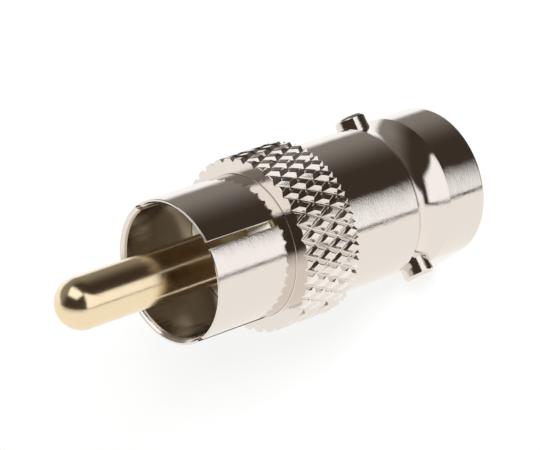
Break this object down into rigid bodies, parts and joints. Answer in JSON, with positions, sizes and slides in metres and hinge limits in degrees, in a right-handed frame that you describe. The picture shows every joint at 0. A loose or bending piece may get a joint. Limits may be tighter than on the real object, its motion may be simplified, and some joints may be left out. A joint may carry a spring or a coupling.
{
  "type": "rca to bnc adapter",
  "caption": "Coaxial adapter with a slotted phono plug at one end, a knurled collar and a bayonet jack barrel with studs at the other.",
  "frame": {"origin": "centre of the jack's rim, on the adapter's axis, where it stands", "axes": "+Z along the axis from the jack's rim to the phono pin's tip, +X through one bayonet stud"},
  "size_m": [0.011, 0.011, 0.0304],
  "materials": {
    "nickel": "bright nickel plate on brass",
    "gilt": "thin bright gold plate on brass",
    "bush_plastic": "plain moulded, cream",
    "jack_plastic": "plain turned, white"
  },
  "bodies": {
    "root": {"body": "nickel", "phono_sleeve": "nickel", "phono_pin": "gilt", "phono_insulator": "bush_plastic", "jack_insulator": "jack_plastic", "socket_contact": "gilt", "bayonet_stud_right": "nickel", "bayonet_stud_left": "nickel"}
  },
  "joints": []
}
